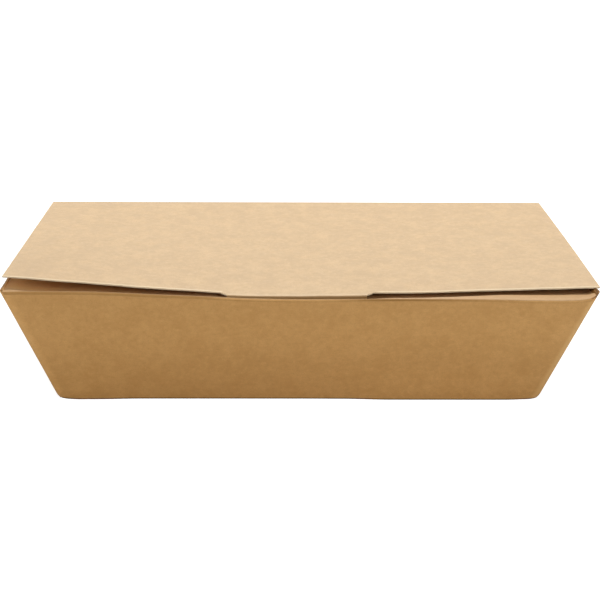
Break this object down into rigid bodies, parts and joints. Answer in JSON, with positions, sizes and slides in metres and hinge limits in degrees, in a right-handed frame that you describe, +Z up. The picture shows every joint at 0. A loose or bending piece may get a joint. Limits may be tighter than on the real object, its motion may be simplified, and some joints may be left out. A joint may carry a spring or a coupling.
{
  "type": "takeaway box",
  "caption": "Long folded kraft takeaway box with a flared tray, tuck flaps and a hinged lid that locks with a tab.",
  "frame": {"origin": "middle of the base's underside, where the box stands on the table", "axes": "+X left to right along the box, +Y from the tab side to the hinge side, +Z up"},
  "size_m": [0.215, 0.1394, 0.0508],
  "materials": {
    "board": "matt brown kraft board, unprinted"
  },
  "bodies": {
    "tray": {"tray": "board"},
    "lid": {"lid": "board"}
  },
  "joints": [
    {"name": "lid_hinge", "type": "hinge", "parent": "tray", "child": "lid", "pos_m": [0, 0.06968, 0.04698], "axis": [-1, 0, 0], "range_deg": [0, 180]}
  ]
}
